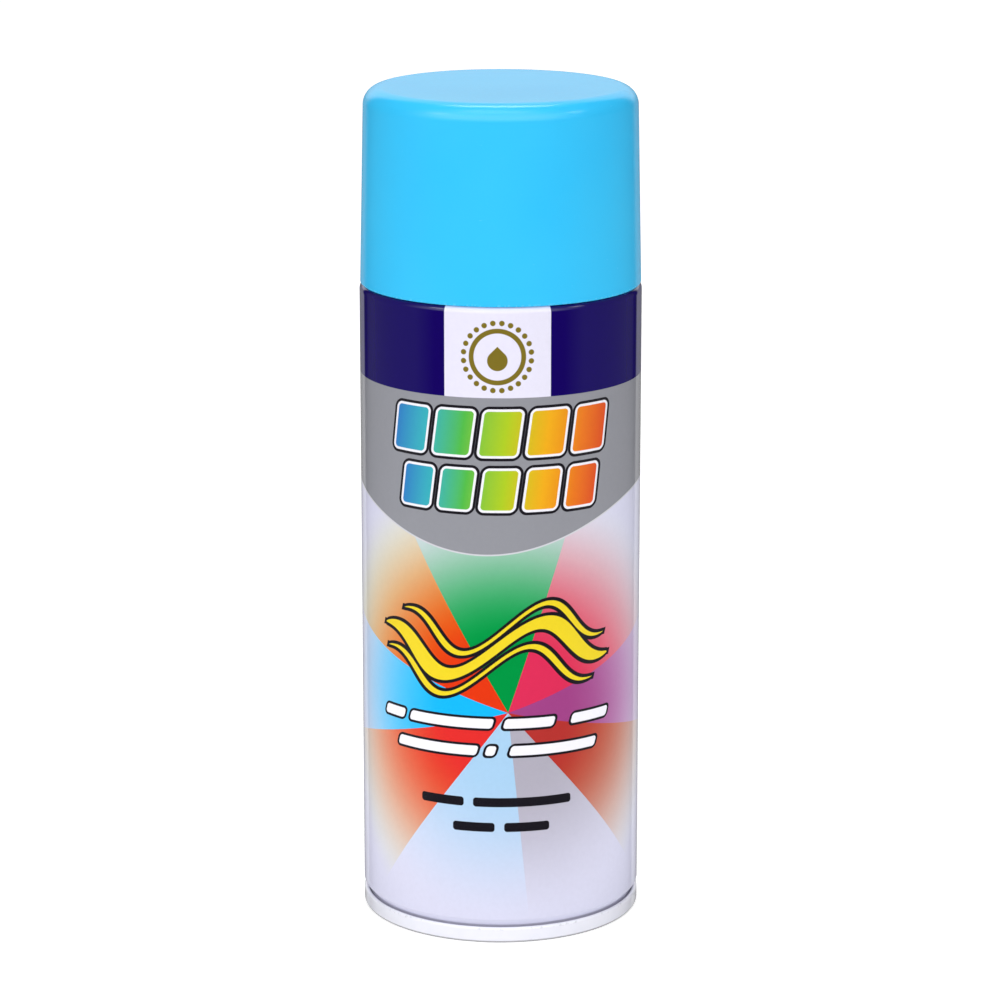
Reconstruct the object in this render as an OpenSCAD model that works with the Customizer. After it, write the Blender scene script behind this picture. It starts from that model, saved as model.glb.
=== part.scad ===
// Aerosol spray paint can: three-piece tinplate can, one-inch valve, spray button and push-on overcap.
// Millimetres. The origin is at the middle of the foot, +Z runs up the can, -Y is the label's front.

/* [Can] */
// Outer diameter of the can body
body_d = 65; // [62:0.5:70]
// Height from the foot to the crown of the top seam
can_h = 158; // [110:1:200]
// Sheet thickness of the body
body_t = 0.25; // [0.2:0.01:0.28]
// Sheet thickness of the top cone and the bottom end
end_t = 0.38; // [0.34:0.01:0.4]
// Neck-in of the body's radius at the bottom
bottom_neck_in = 1.18; // [1.16:0.02:1.4]

/* [Overcap] */
// Height of the cap
cap_h = 45; // [43:0.5:60]
// How far the closed cap reaches below the top seam's crown
cap_lap = 8.2; // [8:0.1:8.4]
// Wall thickness of the cap
cap_wall = 1.25; // [1.1:0.05:1.3]
// Radius of the cap's upper edge
cap_edge_r = 4.2; // [3:0.1:5]
// Inward lean of the cap's wall, in degrees
cap_draft = 1.25; // [0.8:0.05:1.4]

/* [Valve and button] */
// Diameter of the valve stem
stem_d = 3.94; // [3.8:0.02:4]
// Height of the stem above the cup's pedestal
stem_reach = 8.7; // [8:0.1:9.2]
// Travel of the button when it is pressed
press_travel = 1.5; // [1:0.1:1.6]
// Diameter of the spray button at its foot
button_d = 13.6; // [13:0.1:15]
// Height of the spray button
button_h = 14.6; // [14.4:0.1:16]
// Outer diameter of the dip tube
tube_d = 4; // [3.8:0.1:4.4]

/* [Mixing balls] */
// Diameter of a steel mixing ball
ball_d = 6; // [5:0.5:6]

/* [Hidden] */
$fn = 96;

// Clearances
fit_gap = 0.02;                 // between parts pressed or crimped together
run_gap = 0.05;                 // between parts that move on each other
through = 1;                    // how far a cutting shape runs past the face it cuts

// Overcap, which grips the top seam's outside
cap_inset = 0.17;               // how much smaller the cap's radius is than the body's
cap_z = can_h - cap_lap;
total_h = cap_z + cap_h;
cap_r = body_d / 2 - cap_inset;
cap_grip_r = cap_r - cap_wall / cos(cap_draft) - cap_lap * tan(cap_draft);

// Double seam: five layers, one pitch apart, with the seam's compound in the gaps
layer_gap = 0.05;
pitch = (body_t + end_t) / 2 + layer_gap;
crown_bend = 0.45;
top_seam_h = 3.2;
bottom_seam_h = 3.7;
hook_z = -end_t - layer_gap - pitch - body_t / 2;   // centre of the body hook's bend, from the crown
body_mid_r = body_d / 2 - body_t / 2;
top_neck_r = cap_grip_r - fit_gap - end_t / 2 - 3 * pitch;
bottom_neck_r = body_mid_r - bottom_neck_in;
shoulder_z = can_h - 9.8;       // where the top neck-in starts
heel_z = 5.9;                   // where the bottom neck-in ends
hook_gap = 0.15;                // between a hook's tip and the bend that it points into
seal_drop = 0.13;
seal_w = 0.42;
seal_h = 0.23;
neck_bend = 1.6;
neck_angle = 50;
heel_bend = 0.6;
heel_angle = 35;
weld_angle = 1.8;               // the welded side seam, inside the body at the back
weld_rise = 0.12;

// Top cone: countersink, dome, and the curl round the one-inch opening
opening_r = 12.7;
countersink = 3.8;
countersink_bend = 0.9;
dome_low_angle = 60;
dome_high_angle = 25;
neck_fillet = 1.5;
opening_wall = 0.8;             // straight wall between the dome's neck and the curl
curl_r = 1.425;                 // outside radius of the curl's section
curl_mid_r = opening_r + curl_r;
opening_mid_r = opening_r + end_t / 2;
chuck_r = top_neck_r - pitch;
cone_turn = 180 - (90 - dome_low_angle);            // turn of the countersink bend
cone_foot = [chuck_r - countersink_bend + countersink_bend * cos(cone_turn),
             can_h - countersink - countersink_bend * sin(cone_turn)];
cone_head_r = opening_mid_r + neck_fillet * (1 - sin(dome_high_angle));
dome_r = (cone_foot[0] - cone_head_r) / (sin(dome_low_angle) - sin(dome_high_angle));
cone_head_z = cone_foot[1] + dome_r * (cos(dome_high_angle) - cos(dome_low_angle));
opening_z = cone_head_z + neck_fillet * cos(dome_high_angle);
curl_z = opening_z + opening_wall;

// Mounting cup, crimped under the curl and round the valve housing
cup_t = 0.3;
clinch_drop = 1.2;              // from the curl's middle down to the clinch
clinch_h = 2.6;
clinch_depth = 0.85;
floor_bend = 1;
cup_gasket_t = 0.25;
cup_curl_r = curl_r + cup_gasket_t + cup_t / 2;
cup_wall_r = curl_mid_r - cup_curl_r;
cup_floor_z = curl_z - clinch_drop - clinch_h - floor_bend;
cup_top_z = curl_z + cup_curl_r + cup_t / 2;
pedestal_rise = 0.5;            // of the pedestal above the cup's rim
pedestal_z = cup_top_z + pedestal_rise;
pedestal_mid_r = 5.2;
pedestal_bend = 0.7;
pedestal_crimp = 0.55;
crimp_h = 2.4;
pedestal_foot_bend = 0.9;
cup_hole_r = 2.4;

// Valve: gasket, housing, stem and spring
stem_r = stem_d / 2;
gasket_t = 1.1;
gasket_r = 4.5;
gasket_top_z = pedestal_z - cup_t;
gasket_z = gasket_top_z - gasket_t;
housing_head_r = pedestal_mid_r - cup_t / 2 - 2 * run_gap;
housing_head_h = 2.6;
housing_r = 4.2;
housing_floor = 1.2;
chamber_r = 3.05;
shoulder_r = 2.85;
shoulder_h = 3.4;
spring_h = 9.8;
spring_top_z = gasket_z - shoulder_h - run_gap;
chamber_z = spring_top_z - spring_h;
housing_z = chamber_z - housing_floor;
tail_r = 1.48;
tail_l = 6.5;
tail_bore_r = 0.9;
tap_r = 0.25;
tap_lift = 2;
spring_wire_r = 0.26;
spring_mid_r = 2.3;
spring_turns = 8;
closed_turns = 1;               // closed turns at each end of the spring
ring_sides = 8;
rings_per_turn = 14;
stem_top_z = pedestal_z + stem_reach;
stem_bore_r = 1;
orifice_r = 0.3;
spur_r = 1.3;
spur_h = 3;

// Button: socket on the stem, feed duct, nozzle bore with its centre post, finger pad
press_gap = 0.6;                // left between the pressed button and the pedestal
button_z = pedestal_z + press_travel + press_gap;
button_top_z = button_z + button_h;
button_wall = 1.3;
button_lean = 0.3;              // how much narrower the top is than the foot
button_edge_r = 0.9;
socket_wall = 1.3;
socket_r = stem_r + 0.03;
web_t = 0.8;
web_lift = 1.2;                 // how far the webs' feet stand above the skirt's foot
skirt_h = 6.6;                  // height of the hollow round the socket
nozzle_z = button_z + 9.6;
nozzle_face_y = -5.8;
nozzle_bore_r = 2.3;
nozzle_back_y = -2.5;
nozzle_face_h = 2.9;            // how far the flat face reaches below the nozzle
post_r = 1.1;
post_l = 2.6;
duct_r = 0.5;
spray_r = 0.25;
insert_wall = 0.5;
insert_l = 2.7;
insert_face = 0.65;             // thickness of the insert's front wall
insert_sink = 0.25;             // how far the insert sits behind the button's face
pad_r = 13;
pad_depth = 1.6;
pad_shift = 0.9;

// Dip tube: straight on the tail, then one long bend towards the trough at the back
tube_r = tube_d / 2;
tube_bore_r = tail_r + fit_gap;
tube_straight = 7.5;
tube_foot_r = 24;
tube_foot_z = 16;
slant = 25;
bend_z = housing_z - tube_straight;
bend_half = atan2(tube_foot_r, bend_z - tube_foot_z);
bend_r = (bend_z - tube_foot_z) / sin(2 * bend_half);

// Bottom end: the countersink's bend leads into a dome that rises to the middle
base_edge_angle = 26;
base_bend = 1.5;
base_chuck_r = bottom_neck_r - pitch;
base_chuck_z = 4.4;
base_edge_r = base_chuck_r - base_bend * (1 - sin(base_edge_angle));
base_edge_z = base_chuck_z + base_bend * cos(base_edge_angle);
base_r = base_edge_r / sin(base_edge_angle);
base_centre_z = base_edge_z - base_r * cos(base_edge_angle);
base_flat_angle = 1.5;          // the dome's middle is flat inside this angle

// Mixing balls: they lie in the trough between the base's dome and the body
ball_r = ball_d / 2;
ball_ring_r = body_d / 2 - body_t - weld_rise - ball_r - run_gap;
ball_reach = base_r + end_t / 2 + ball_r + run_gap;
ball_z = base_centre_z + sqrt(ball_reach * ball_reach - ball_ring_r * ball_ring_r);

// Inside of the overcap: ribs that rest on the top seam, and a chamfer at the foot
cap_rib_count = 12;
cap_rib_t = 1;
cap_rib_r = top_neck_r - pitch - end_t / 2 + 0.2;
cap_rib_z = can_h + run_gap;
cap_edge_chamfer = 0.65;

// Points of an arc about c, from angle a to angle b
function arc(c, r, a, b, n = 8) =
    [for (i = [0:n]) let (angle = a + (b - a) * i / n) c + r * [cos(angle), sin(angle)]];
function unit(v) = v / norm(v);
function left_of(v) = [-v[1], v[0]];
// The point beside a path's point i, half a sheet away, on the side that the sign of t says
function beside(path, i, t) =
    let (last = len(path) - 1,
         a = left_of(unit(path[max(i, 1)] - path[max(i, 1) - 1])),
         b = left_of(unit(path[min(i, last - 1) + 1] - path[min(i, last - 1)])),
         n = unit(a + b))
    path[i] + n * t / (2 * (n * a));
// A path without the points that repeat where two of its stretches meet
function joined(path) =
    [for (i = [0:len(path) - 1]) if (i == 0 || norm(path[i] - path[max(i, 1) - 1]) > 0.001) path[i]];
function reversed(path) = [for (i = [len(path) - 1:-1:0]) path[i]];
// Outline of a bent sheet of thickness t whose middle follows the path
function sheet(path, t) = concat([for (i = [0:len(path) - 1]) beside(path, i, t)],
                                 [for (i = [len(path) - 1:-1:0]) beside(path, i, -t)]);
function lifted(path, z) = [for (p = path) [p[0], p[1] + z]];
function turned_over(path) = [for (p = path) [p[0], -p[1]]];
// One cosine wave of the given depth, from height z down by h, on a wall of radius r
function bead(r, z, h, depth, n = 12) =
    [for (i = [0:n]) [r + depth * (1 - cos(360 * i / n)) / 2, z - h * i / n]];

// The end's metal in a double seam, from the cover hook's tip over the crown to the chuck wall
function end_seam(neck_r, h) =
    let (fold_z = -h + end_t / 2 + pitch,
         crown_z = -end_t / 2 - crown_bend,
         outer_r = neck_r + 3 * pitch,
         inner_r = neck_r - pitch)
    concat([[neck_r + pitch, hook_z - hook_gap]],
           arc([neck_r + 2 * pitch, fold_z], pitch, 180, 360),
           arc([outer_r - crown_bend, crown_z], crown_bend, 0, 90, 6),
           arc([inner_r + crown_bend, crown_z], crown_bend, 90, 180, 6));
// The body's metal in a double seam, up the neck and over into the body hook
function body_seam(neck_r, h) =
    concat(arc([neck_r + pitch, hook_z], pitch, 180, 0),
           [[neck_r + 2 * pitch, -h + end_t / 2 + pitch + hook_gap]]);
// A neck-in between two radii: two equal bends with a straight slope between them, going up
function neck_in(r0, r1, bend, angle, z) =
    let (drop = r0 - r1,
         slope_r = drop - 2 * bend * (1 - cos(angle)),
         rise = 2 * bend * sin(angle) + slope_r / tan(angle))
    concat(arc([r0 - bend, z], bend, 0, angle),
           arc([r1 + bend, z + rise], bend, 180 + angle, 180));

module spun(path, t) {
    rotate_extrude() polygon(sheet(joined(path), t));
}

module can_body() {
    top = concat(neck_in(body_mid_r, top_neck_r, neck_bend, neck_angle, shoulder_z),
                 lifted(body_seam(top_neck_r, top_seam_h), can_h));
    bottom = turned_over(concat(neck_in(body_mid_r, bottom_neck_r, heel_bend, heel_angle, -heel_z),
                                body_seam(bottom_neck_r, bottom_seam_h)));
    color([0.86, 0.86, 0.93]) {
        spun(concat(reversed(bottom), top), body_t);
        weld_strip();
    }
}

// Overlap of the sheet's two edges, welded and pressed into the inside of the wall
module weld_strip() {
    inner_r = body_d / 2 - body_t - weld_rise;
    rotate([0, 0, 90 - weld_angle / 2])
        rotate_extrude(angle = weld_angle)
            translate([inner_r, heel_z]) square([weld_rise + body_t / 2, shoulder_z - heel_z]);
}

module top_cone() {
    foot_turn = arc([chuck_r - countersink_bend, can_h - countersink], countersink_bend, 0, -cone_turn);
    dome_c = cone_foot - dome_r * [sin(dome_low_angle), cos(dome_low_angle)];
    dome = arc(dome_c, dome_r, 90 - dome_low_angle, 90 - dome_high_angle, 16);
    fillet = arc([opening_mid_r + neck_fillet, opening_z], neck_fillet, 270 - dome_high_angle, 180);
    curl_mid = curl_r - end_t / 2;
    curl = arc([curl_mid_r, curl_z], curl_mid, 180, -75, 20);
    color("silver")
        spun(concat(lifted(end_seam(top_neck_r, top_seam_h), can_h), foot_turn, dome, fillet, curl), end_t);
}

module bottom_end() {
    corner = arc([base_chuck_r - base_bend, -base_chuck_z], base_bend, 0, -90 + base_edge_angle);
    dome = arc([0, -base_centre_z], base_r, -90 + base_edge_angle, -90 + base_flat_angle, 14);
    middle = [[0, -base_centre_z - base_r * cos(base_flat_angle)]];
    color([0.88, 0.89, 0.92]) mirror([0, 0, 1])
        spun(concat(end_seam(bottom_neck_r, bottom_seam_h), corner, dome, middle), end_t);
}

// Lining compound inside the bend of a double seam's body hook
module seam_seal(neck_r) {
    rotate_extrude() translate([neck_r + pitch - seal_w / 2, hook_z - seal_drop]) square([seal_w, seal_h]);
}

module top_seam_seal() {
    color("darkgoldenrod") translate([0, 0, can_h]) seam_seal(top_neck_r);
}

module bottom_seam_seal() {
    color("darkgoldenrod") mirror([0, 0, 1]) seam_seal(bottom_neck_r);
}

module mounting_cup() {
    rim = arc([curl_mid_r, curl_z], cup_curl_r, -35, 180, 20);
    clinch = bead(cup_wall_r, curl_z - clinch_drop, clinch_h, clinch_depth);
    floor_turn = arc([cup_wall_r - floor_bend, cup_floor_z + floor_bend], floor_bend, 0, -90);
    foot = arc([pedestal_mid_r + pedestal_foot_bend, cup_floor_z + pedestal_foot_bend],
               pedestal_foot_bend, 270, 180);
    crimp_z = cup_floor_z + pedestal_foot_bend + crimp_h;
    crimp = reversed(bead(pedestal_mid_r, crimp_z, crimp_h, -pedestal_crimp));
    top_turn = arc([pedestal_mid_r - pedestal_bend, pedestal_z - cup_t / 2 - pedestal_bend],
                   pedestal_bend, 0, 90);
    top_edge = [[cup_hole_r, pedestal_z - cup_t / 2]];
    color("gainsboro") spun(concat(rim, clinch, floor_turn, foot, crimp, top_turn, top_edge), cup_t);
}

module cup_gasket() {
    outer_r = curl_r + cup_gasket_t - fit_gap;
    color("dimgray") rotate_extrude() translate([curl_mid_r, curl_z]) intersection() {
        difference() {
            circle(outer_r);
            circle(curl_r + fit_gap);
        }
        translate([-outer_r, 0]) square([2 * outer_r, outer_r]);
    }
}

module stem_gasket() {
    color("black") translate([0, 0, gasket_z + fit_gap]) difference() {
        cylinder(h = gasket_t - 2 * fit_gap, r = gasket_r);
        translate([0, 0, -through]) cylinder(h = gasket_t + 2 * through, r = stem_r + run_gap);
    }
}

module valve_housing() {
    color("ivory") difference() {
        union() {
            translate([0, 0, gasket_z - housing_head_h]) cylinder(h = housing_head_h, r = housing_head_r);
            translate([0, 0, housing_z]) cylinder(h = gasket_z - housing_z - through, r = housing_r);
            translate([0, 0, housing_z - tail_l]) cylinder(h = tail_l + through / 2, r = tail_r);
        }
        translate([0, 0, chamber_z]) cylinder(h = gasket_z - chamber_z + through, r = chamber_r);
        translate([0, 0, housing_z - tail_l - through]) cylinder(h = tail_l + 4 * through, r = tail_bore_r);
        vapour_tap();
    }
}

// Small hole in the housing's side that lets propellant vapour into the spring chamber
module vapour_tap() {
    translate([0, 0, chamber_z + tap_lift]) rotate([0, 90, 0]) cylinder(h = housing_r + through, r = tap_r);
}

// Middle of the spring's wire at turn u: the end turns lie close, the rest has an even pitch
function spring_z(u) =
    let (wire = 2 * spring_wire_r + fit_gap,
         open_turns = spring_turns - 2 * closed_turns,
         lead = (spring_h - 2 * spring_wire_r - 2 * closed_turns * wire) / open_turns)
    chamber_z + spring_wire_r + wire * min(u, closed_turns)
    + lead * max(0, min(u - closed_turns, open_turns)) + wire * max(0, u - spring_turns + closed_turns);

module valve_spring() {
    rings = rings_per_turn * spring_turns;
    points = [for (i = [0:rings], j = [0:ring_sides - 1])
              let (turn = i / rings_per_turn,
                   a = 360 * turn,
                   b = 360 * j / ring_sides,
                   r = spring_mid_r + spring_wire_r * cos(b))
              [r * cos(a), r * sin(a), spring_z(turn) + spring_wire_r * sin(b)]];
    ends = [[for (j = [0:ring_sides - 1]) j],
            [for (j = [ring_sides - 1:-1:0]) rings * ring_sides + j]];
    sides = [for (i = [0:rings - 1], j = [0:ring_sides - 1])
             let (a = i * ring_sides + j,
                  b = i * ring_sides + (j + 1) % ring_sides)
             [a, a + ring_sides, b + ring_sides, b]];
    color("silver") polyhedron(points, concat(ends, sides), convexity = 8);
}

module dip_tube() {
    color("whitesmoke") difference() {
        union() {
            translate([0, 0, bend_z]) tube_ring_up(tube_straight - fit_gap);
            translate([0, bend_r, bend_z]) rotate([90, 0, 90])
                rotate_extrude(angle = 2 * bend_half, start = 180) translate([bend_r, 0]) difference() {
                    circle(tube_r);
                    circle(tube_bore_r);
                }
        }
        slant_cut();
    }
}

module tube_ring_up(h) {
    difference() {
        cylinder(h = h, r = tube_r);
        translate([0, 0, -through]) cylinder(h = h + 2 * through, r = tube_bore_r);
    }
}

// The tube's foot is cut at a slant, so that it can't seal itself against the base
module slant_cut() {
    size = 6 * tube_r;
    translate([0, tube_foot_r, tube_foot_z]) rotate([slant, 0, 0])
        translate([-size / 2, -size / 2, tube_r / 2 - size]) cube(size);
}

module valve_stem() {
    color("white") difference() {
        union() {
            translate([0, 0, spring_top_z]) cylinder(h = stem_top_z - spring_top_z, r = stem_r);
            translate([0, 0, spring_top_z]) cylinder(h = shoulder_h, r = shoulder_r);
            translate([0, 0, spring_top_z - spur_h]) cylinder(h = spur_h + through, r = spur_r);
        }
        translate([0, 0, gasket_z + gasket_t / 2 - orifice_r])
            cylinder(h = stem_top_z - gasket_z + through, r = stem_bore_r);
        translate([0, 0, gasket_z + gasket_t / 2]) rotate([0, 90, 0])
            cylinder(h = stem_d, r = orifice_r);
    }
}

module actuator() {
    color("white") difference() {
        union() {
            difference() {
                button_shell();
                button_hollow();
                nozzle_bore();
            }
            nozzle_post();
        }
        feed_ducts();
    }
}

module button_shell() {
    foot_r = button_d / 2;
    top_r = foot_r - button_lean;
    difference() {
        rotate_extrude() {
            polygon([[0, button_z], [foot_r, button_z], [top_r, button_top_z - button_edge_r],
                     [top_r - button_edge_r, button_top_z], [0, button_top_z]]);
            translate([top_r - button_edge_r, button_top_z - button_edge_r]) circle(button_edge_r);
        }
        translate([0, -pad_shift, button_top_z + pad_r - pad_depth]) sphere(pad_r);
        translate([-button_d, nozzle_face_y - button_d, nozzle_z - nozzle_face_h])
            cube([2 * button_d, button_d, button_h]);
    }
}

// Hollow skirt round the stem's socket, crossed by four webs
module button_hollow() {
    translate([0, 0, button_z - through])
        cylinder(h = stem_top_z - button_z + through + fit_gap, r = socket_r);
    difference() {
        translate([0, 0, button_z - through]) cylinder(h = skirt_h + through, r = button_d / 2 - button_wall);
        translate([0, 0, button_z - 2 * through])
            cylinder(h = skirt_h + 3 * through, r = socket_r + socket_wall);
        for (a = [45, 135])
            rotate([0, 0, a]) translate([-button_d / 2, -web_t / 2, button_z + web_lift])
                cube([button_d, web_t, skirt_h]);
    }
}

module nozzle_bore() {
    translate([0, nozzle_back_y, nozzle_z]) rotate([90, 0, 0]) cylinder(h = button_d, r = nozzle_bore_r);
}

module nozzle_post() {
    translate([0, nozzle_back_y + 0.5, nozzle_z]) rotate([90, 0, 0]) cylinder(h = post_l, r = post_r);
}

module feed_ducts() {
    duct_z = nozzle_z + (post_r + nozzle_bore_r - insert_wall) / 2 - 0.1;
    translate([0, 0, stem_top_z - through]) cylinder(h = duct_z - stem_top_z + through + duct_r, r = duct_r);
    translate([0, 0, duct_z]) rotate([90, 0, 0]) cylinder(h = -nozzle_back_y + duct_r, r = duct_r);
}

module nozzle_insert() {
    outer_r = nozzle_bore_r - fit_gap;
    color("lightgray") translate([0, nozzle_face_y + insert_sink + insert_l, nozzle_z])
        rotate([90, 0, 0]) difference() {
            cylinder(h = insert_l, r = outer_r);
            translate([0, 0, -through])
                cylinder(h = insert_l - insert_face + through, r = outer_r - insert_wall);
            cylinder(h = insert_l + through, r = spray_r);
            translate([0, 0, insert_l - spray_r]) cylinder(h = through, r1 = 2 * spray_r, r2 = 10 * spray_r);
        }
}

// Outline of a tapered cup with a rounded upper edge, shrunk inwards by the given amount
module cap_outline(inset) {
    edge_z = total_h - cap_edge_r;
    edge_r = cap_r - (edge_z - cap_z) * tan(cap_draft) - cap_edge_r / cos(cap_draft);
    bend = cap_edge_r - inset;
    foot_z = inset > 0 ? cap_z - through : cap_z;
    foot_r = cap_r - inset / cos(cap_draft) + (cap_z - foot_z) * tan(cap_draft);
    polygon([[0, foot_z], [foot_r, foot_z],
             [edge_r + bend * cos(cap_draft), edge_z + bend * sin(cap_draft)],
             [edge_r, total_h - inset], [0, total_h - inset]]);
    translate([edge_r, edge_z]) circle(bend);
}

module overcap() {
    color([0.25, 0.75, 1]) difference() {
        union() {
            rotate_extrude() difference() {
                cap_outline(0);
                cap_outline(cap_wall);
            }
            cap_ribs();
        }
        cap_foot_chamfer();
    }
}

// Ribs down the inside of the wall: their feet rest on the top seam
module cap_ribs() {
    intersection() {
        rotate_extrude() intersection() {
            cap_outline(cap_wall / 2);
            translate([cap_rib_r, cap_rib_z]) square([cap_r, total_h]);
        }
        for (i = [0:cap_rib_count / 2 - 1])
            rotate([0, 0, 180 / cap_rib_count + 360 * i / cap_rib_count])
                translate([-body_d, -cap_rib_t / 2, 0]) cube([2 * body_d, cap_rib_t, 2 * total_h]);
    }
}

module cap_foot_chamfer() {
    inner_r = cap_r - cap_wall;
    translate([0, 0, cap_z - fit_gap])
        cylinder(h = 1.4 * cap_edge_chamfer, r1 = inner_r + cap_edge_chamfer, r2 = inner_r - 0.05);
}

module mixing_ball(angle) {
    color("silver") rotate([0, 0, angle]) translate([ball_ring_r, 0, ball_z]) sphere(ball_r);
}

module mixing_ball_1() {
    mixing_ball(180);
}

module mixing_ball_2() {
    mixing_ball(0);
}

can_body();
top_cone();
bottom_end();
top_seam_seal();
bottom_seam_seal();
mounting_cup();
cup_gasket();
stem_gasket();
valve_housing();
valve_spring();
dip_tube();
valve_stem();
actuator();
nozzle_insert();
overcap();
mixing_ball_1();
mixing_ball_2();
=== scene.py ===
"""Looks of an aerosol spray paint can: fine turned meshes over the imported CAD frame, with a printed label.

Sizes are in millimetres until a mesh is made, and places come from the CAD nodes' boxes.
The origin is at the middle of the foot, +Z runs up the can and -Y is the label's front.
"""

import math

import bmesh
import bpy
from mathutils import Euler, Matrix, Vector


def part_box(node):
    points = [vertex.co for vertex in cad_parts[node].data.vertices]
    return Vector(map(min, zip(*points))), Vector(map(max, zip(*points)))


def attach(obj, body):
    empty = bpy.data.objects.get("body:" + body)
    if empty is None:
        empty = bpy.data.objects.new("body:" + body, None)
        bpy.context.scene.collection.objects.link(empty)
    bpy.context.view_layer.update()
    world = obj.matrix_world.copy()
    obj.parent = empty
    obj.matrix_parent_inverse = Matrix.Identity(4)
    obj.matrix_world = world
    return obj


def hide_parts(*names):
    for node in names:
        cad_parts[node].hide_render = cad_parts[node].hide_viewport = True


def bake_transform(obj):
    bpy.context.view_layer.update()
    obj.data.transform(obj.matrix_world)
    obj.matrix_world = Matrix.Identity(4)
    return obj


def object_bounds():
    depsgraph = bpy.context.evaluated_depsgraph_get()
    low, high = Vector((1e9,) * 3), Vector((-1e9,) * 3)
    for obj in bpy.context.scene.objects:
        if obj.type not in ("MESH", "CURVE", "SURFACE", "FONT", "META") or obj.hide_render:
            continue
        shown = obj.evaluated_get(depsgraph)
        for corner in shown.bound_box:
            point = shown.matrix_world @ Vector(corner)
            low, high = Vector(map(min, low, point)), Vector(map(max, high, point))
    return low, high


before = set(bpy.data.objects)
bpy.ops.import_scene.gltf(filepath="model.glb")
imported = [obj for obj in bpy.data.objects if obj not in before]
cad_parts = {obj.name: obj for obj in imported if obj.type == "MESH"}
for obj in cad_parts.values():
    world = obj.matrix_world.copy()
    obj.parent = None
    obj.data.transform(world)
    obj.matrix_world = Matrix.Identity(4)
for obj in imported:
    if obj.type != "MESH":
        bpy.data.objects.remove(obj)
cad_low, cad_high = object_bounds()

MM = 0.001
SEGMENTS = 320                      # faces round a full turn


def box(node):
    """Lowest and highest corner of a CAD node, in millimetres."""
    low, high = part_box(node)
    return low / MM, high / MM


# ---------------------------------------------------------------- sizes

# Sheet metal
BODY_T = 0.25
END_T = 0.38
LAYER_GAP = 0.05                    # the seam's compound between two layers
PITCH = (BODY_T + END_T) / 2 + LAYER_GAP
CROWN_BEND = 0.45
HOOK_GAP = 0.15                     # between a hook's tip and the bend that it points into
HOOK_Z = -END_T - LAYER_GAP - PITCH - BODY_T / 2
TOP_SEAM_H = 3.2
BOTTOM_SEAM_H = 3.7

BODY_R = box("can_body")[1].x
BODY_MID_R = BODY_R - BODY_T / 2
CAN_H = box("can_body")[1].z + END_T + LAYER_GAP
TOP_NECK_R = box("top_cone")[1].x - END_T / 2 - 3 * PITCH
BOTTOM_NECK_R = box("bottom_end")[1].x - END_T / 2 - 3 * PITCH

# Neck-ins of the body
SHOULDER_Z = CAN_H - 9.8
NECK_BEND = 1.6
NECK_ANGLE = 50
HEEL_Z = 5.9
HEEL_BEND = 0.6
HEEL_ANGLE = 35
WELD_HALF_ANGLE = 0.9
WELD_RISE = 0.12

# Top cone
CURL_R = 1.425
COUNTERSINK = 3.8
COUNTERSINK_BEND = 0.9
DOME_LOW_ANGLE = 60
DOME_HIGH_ANGLE = 25
NECK_FILLET = 1.5
OPENING_R = 12.7
CURL_MID_R = OPENING_R + CURL_R
CURL_Z = box("top_cone")[1].z - CURL_R

# Bottom end
BASE_EDGE_ANGLE = 26
BASE_BEND = 1.5
BASE_CHUCK_Z = 4.4
BASE_FLAT_ANGLE = 1.5

# Mounting cup
CUP_T = 0.3
CUP_GASKET_T = 0.25
CUP_CURL_R = CURL_R + CUP_GASKET_T + CUP_T / 2
CUP_WALL_R = CURL_MID_R - CUP_CURL_R
CLINCH_DROP = 1.2
CLINCH_H = 2.6
CLINCH_DEPTH = 0.85
FLOOR_BEND = 1
CUP_FLOOR_Z = CURL_Z - CLINCH_DROP - CLINCH_H - FLOOR_BEND
PEDESTAL_Z = box("mounting_cup")[1].z
PEDESTAL_MID_R = 5.2
PEDESTAL_BEND = 0.7
PEDESTAL_FOOT_BEND = 0.9
CRIMP_H = 2.4
CRIMP_DEPTH = 0.55
CUP_HOLE_R = 2.4

# Overcap
CAP_WALL = 1.25
CAP_EDGE_R = 4.2
CAP_DRAFT = math.radians(1.25)
CAP_Z = box("overcap")[0].z
CAP_TOP_Z = box("overcap")[1].z
CAP_R = box("overcap")[1].x
CAP_LIP_R = 0.35                    # rounding of the foot's outer edge
CAP_LIP_CHAMFER = 0.65
CAP_DISH = 0.25                     # how far the middle of the top sinks
CAP_DISH_STEPS = 12
CAP_RIBS = 12
CAP_RIB_T = 1
CAP_RIB_R = TOP_NECK_R - PITCH - END_T / 2 + 0.2
CAP_RIB_Z = CAN_H + 0.05

# Valve spring
SPRING_WIRE_R = 0.26
SPRING_TURNS = 8
SPRING_CLOSED_TURNS = 1
SPRING_SIDES = 14
SPRING_RINGS_PER_TURN = 40


# ---------------------------------------------------------------- outlines in the (radius, height) plane

def arc(centre, radius, start, end, steps=14):
    """Points of an arc about centre, between two angles in degrees."""
    points = []
    for i in range(steps + 1):
        angle = math.radians(start + (end - start) * i / steps)
        points.append(Vector((centre[0] + radius * math.cos(angle), centre[1] + radius * math.sin(angle))))
    return points


def joined(*stretches):
    """One path from several, without the points that repeat where two of them meet."""
    path = []
    for point in [Vector(p) for stretch in stretches for p in stretch]:
        if not path or (point - path[-1]).length > 0.001:
            path.append(point)
    return path


def lifted(path, height):
    return [Vector((p[0], p[1] + height)) for p in path]


def turned_over(path):
    return [Vector((p[0], -p[1])) for p in path]


def beside(path, offset):
    """The path moved sideways by offset, to the left of the way it runs."""
    moved = []
    for i, point in enumerate(path):
        before = (path[max(i, 1)] - path[max(i, 1) - 1]).normalized()
        after = (path[min(i, len(path) - 2) + 1] - path[min(i, len(path) - 2)]).normalized()
        left_before = Vector((-before.y, before.x))
        left_after = Vector((-after.y, after.x))
        middle = (left_before + left_after).normalized()
        moved.append(point + middle * offset / middle.dot(left_before))
    return moved


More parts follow.
